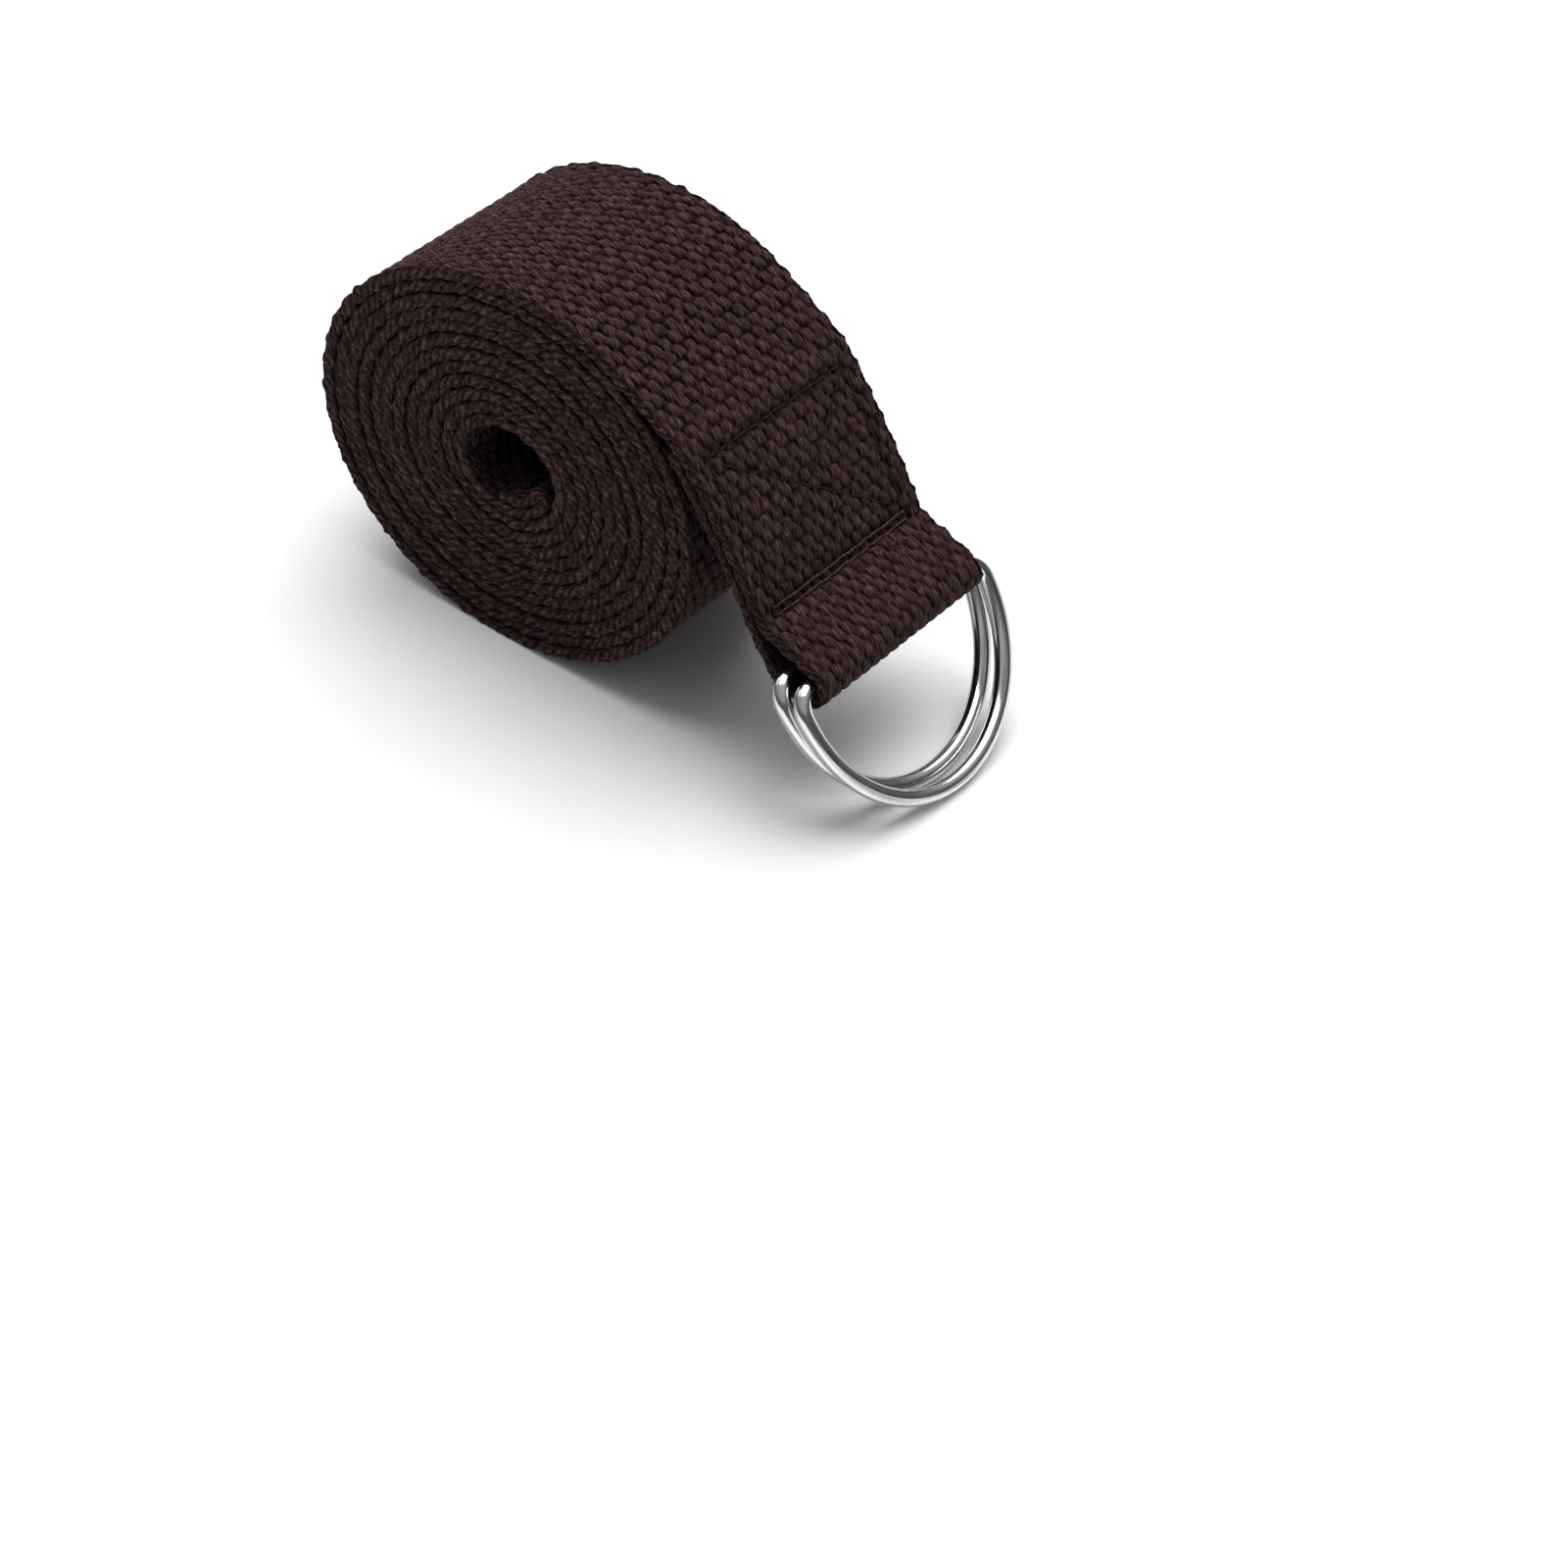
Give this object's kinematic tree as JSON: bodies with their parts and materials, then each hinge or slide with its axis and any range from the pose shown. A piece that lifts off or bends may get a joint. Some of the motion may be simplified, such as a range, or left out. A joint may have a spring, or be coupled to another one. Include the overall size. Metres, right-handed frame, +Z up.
{
  "type": "stretching strap",
  "caption": "Rolled woven cotton stretching strap with a sewn end loop that holds two D-rings for cinching.",
  "frame": {"origin": "on the surface the strap stands on, under the middle of the whole object", "axes": "+X from the roll towards the rings, +Y along the roll's axis, away from the side that the picture shows, +Z up"},
  "size_m": [0.1082, 0.0462, 0.0616],
  "materials": {
    "webbing": "coarse warp-faced cotton weave, matt, dark reddish brown",
    "thread": "twisted sewing thread, slightly darker than the webbing",
    "ring_metal": "bright nickel plated steel wire"
  },
  "bodies": {
    "roll": {"webbing_roll": "webbing", "webbing_hem": "webbing", "hem_stitches": "thread"},
    "sewn_end": {"webbing_tail": "webbing", "webbing_underlap": "webbing", "far_row_stitches": "thread", "ring_row_stitches": "thread", "box_side_stitches": "thread", "box_cross_stitches": "thread"},
    "ring_loop": {"webbing_ring_loop": "webbing"},
    "inner_ring": {"inner_d_ring": "ring_metal"},
    "outer_ring": {"outer_d_ring": "ring_metal"}
  },
  "joints": [
    {"name": "tail_bend", "type": "hinge", "parent": "roll", "child": "sewn_end", "pos_m": [-0.00041, 0, 0.05653], "axis": [0, -1, 0], "range_deg": [0, 70]},
    {"name": "loop_bend", "type": "hinge", "parent": "sewn_end", "child": "ring_loop", "pos_m": [0.02896, 0, 0.02522], "axis": [0, -1, 0], "range_deg": [-15, 25]},
    {"name": "inner_ring_swing", "type": "hinge", "parent": "ring_loop", "child": "inner_ring", "pos_m": [0.03406, 0, 0.02152], "axis": [0, -1, 0], "range_deg": [-70, 0]},
    {"name": "outer_ring_swing", "type": "hinge", "parent": "ring_loop", "child": "outer_ring", "pos_m": [0.03786, 0, 0.02152], "axis": [0, -1, 0], "range_deg": [0, 130]}
  ]
}
